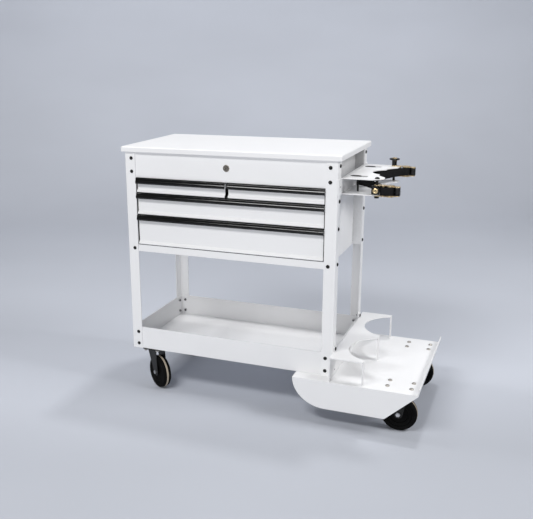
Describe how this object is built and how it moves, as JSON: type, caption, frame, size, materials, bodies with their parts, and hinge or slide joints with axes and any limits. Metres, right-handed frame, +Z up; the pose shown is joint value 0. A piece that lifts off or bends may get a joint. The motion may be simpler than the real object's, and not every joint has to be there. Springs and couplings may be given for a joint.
{
  "type": "welding cart",
  "caption": "Sheet-metal welding cart with a lidded chest over sliding drawers, an open shelf tray and a strapped gas-cylinder platform on swivel and rigid casters.",
  "frame": {"origin": "on the floor under the middle of the overall length and depth", "axes": "+X along the cart towards the cylinder platform, +Y from the drawer fronts to the back, +Z up"},
  "size_m": [1.043, 0.49, 0.8806],
  "materials": {
    "powder_white": "semi-gloss powder coat",
    "pull_black": "glossy",
    "caster_black": "satin",
    "wheel_rubber": "matt, with a tan tread line",
    "bolt_black": "black oxide",
    "zinc_plate": "bright zinc",
    "lock_nickel": "polished nickel",
    "yellow_zinc": "yellow zinc plate",
    "knob_black": "moulded",
    "strap_black": "woven polyester webbing"
  },
  "bodies": {
    "cart": {"post_front_left": "powder_white", "post_front_right": "powder_white", "post_rear_left": "powder_white", "post_rear_right": "powder_white", "shelf_tray": "powder_white", "chest_side_left": "powder_white", "chest_side_right": "powder_white", "chest_back": "powder_white", "chest_floor": "powder_white", "chest_front_rail": "powder_white", "chest_front_panel": "powder_white", "top_compartment_floor": "powder_white", "drawer_divider": "powder_white", "slide_rails": "zinc_plate", "hinge_frame_leaves": "zinc_plate", "hinge_pins": "zinc_plate", "lock_barrel": "lock_nickel", "cylinder_platform": "powder_white", "lower_cradle": "powder_white", "upper_bracket": "powder_white", "frame_bolts": "bolt_black", "frame_nuts": "zinc_plate", "caster_bolts": "zinc_plate", "swivel_plates": "caster_black", "rigid_forks": "caster_black", "rigid_axles": "zinc_plate", "strap_anchor_bolts": "yellow_zinc", "near_ratchet_frame": "yellow_zinc", "near_knob_block": "knob_black", "near_strap_webbing": "strap_black", "far_ratchet_frame": "yellow_zinc", "far_strap_webbing": "strap_black"},
    "lid": {"lid_panel": "powder_white", "lid_hinge_leaves": "zinc_plate", "lid_catch": "zinc_plate"},
    "lock_plug": {"lock_plug": "lock_nickel"},
    "drawer_small_left": {"drawer_small_left_body": "powder_white", "drawer_small_left_pull": "pull_black", "drawer_small_left_runners": "zinc_plate"},
    "drawer_small_right": {"drawer_small_right_body": "powder_white", "drawer_small_right_pull": "pull_black", "drawer_small_right_runners": "zinc_plate"},
    "drawer_medium": {"drawer_medium_body": "powder_white", "drawer_medium_pull": "pull_black", "drawer_medium_runners": "zinc_plate"},
    "drawer_deep": {"drawer_deep_body": "powder_white", "drawer_deep_pull": "pull_black", "drawer_deep_runners": "zinc_plate"},
    "caster_front_left": {"fork_front_left": "caster_black", "axle_front_left": "zinc_plate"},
    "caster_rear_left": {"fork_rear_left": "caster_black", "axle_rear_left": "zinc_plate"},
    "wheel_front_left": {"wheel_front_left": "wheel_rubber"},
    "wheel_rear_left": {"wheel_rear_left": "wheel_rubber"},
    "wheel_front_right": {"wheel_front_right": "wheel_rubber"},
    "wheel_rear_right": {"wheel_rear_right": "wheel_rubber"},
    "near_handle": {"near_ratchet_handle": "yellow_zinc"},
    "near_knob": {"near_tension_knob": "knob_black"},
    "far_handle": {"far_ratchet_handle": "yellow_zinc"},
    "far_knob": {"far_tension_knob": "knob_black"}
  },
  "joints": [
    {"name": "lid_hinge", "type": "hinge", "parent": "cart", "child": "lid", "pos_m": [-0.1395, 0.2036, 0.859], "axis": [-1, 0, 0], "range_deg": [0, 95]},
    {"name": "lock_turn", "type": "hinge", "parent": "cart", "child": "lock_plug", "pos_m": [-0.1395, -0.197, 0.823], "axis": [0, 1, 0], "range_deg": [0, 90]},
    {"name": "drawer_small_left_slide", "type": "slide", "parent": "cart", "child": "drawer_small_left", "axis": [0, -1, 0], "range_m": [0, 0.27]},
    {"name": "drawer_small_right_slide", "type": "slide", "parent": "cart", "child": "drawer_small_right", "axis": [0, -1, 0], "range_m": [0, 0.27]},
    {"name": "drawer_medium_slide", "type": "slide", "parent": "cart", "child": "drawer_medium", "axis": [0, -1, 0], "range_m": [0, 0.27]},
    {"name": "drawer_deep_slide", "type": "slide", "parent": "cart", "child": "drawer_deep", "axis": [0, -1, 0], "range_m": [0, 0.27]},
    {"name": "swivel_front_left", "type": "hinge", "parent": "cart", "child": "caster_front_left", "pos_m": [-0.4415, -0.151, 0.14], "axis": [0, 0, 1], "continuous": true},
    {"name": "roll_front_left", "type": "hinge", "parent": "caster_front_left", "child": "wheel_front_left", "pos_m": [-0.42184, -0.16477, 0.059], "axis": [0.5736, 0.8192, 0], "continuous": true},
    {"name": "swivel_rear_left", "type": "hinge", "parent": "cart", "child": "caster_rear_left", "pos_m": [-0.4415, 0.151, 0.14], "axis": [0, 0, 1], "continuous": true},
    {"name": "roll_rear_left", "type": "hinge", "parent": "caster_rear_left", "child": "wheel_rear_left", "pos_m": [-0.45628, 0.16991, 0.059], "axis": [-0.788, -0.6157, 0], "continuous": true},
    {"name": "roll_front_right", "type": "hinge", "parent": "cart", "child": "wheel_front_right", "pos_m": [0.4515, -0.18, 0.059], "axis": [0, 1, 0], "continuous": true},
    {"name": "roll_rear_right", "type": "hinge", "parent": "cart", "child": "wheel_rear_right", "pos_m": [0.4515, 0.18, 0.059], "axis": [0, 1, 0], "continuous": true},
    {"name": "near_handle_open", "type": "hinge", "parent": "cart", "child": "near_handle", "pos_m": [0.3775, -0.138, 0.77], "axis": [0, 0, -1], "range_deg": [0, 90]},
    {"name": "near_knob_turn", "type": "hinge", "parent": "cart", "child": "near_knob", "pos_m": [0.3375, -0.16, 0.77185], "axis": [0, -1, 0], "continuous": true},
    {"name": "far_handle_open", "type": "hinge", "parent": "cart", "child": "far_handle", "pos_m": [0.3775, 0.138, 0.79], "axis": [0, 0, 1], "range_deg": [0, 90]},
    {"name": "far_knob_turn", "type": "hinge", "parent": "cart", "child": "far_knob", "pos_m": [0.3375, 0.138, 0.82], "axis": [0, 0, 1], "continuous": true}
  ]
}
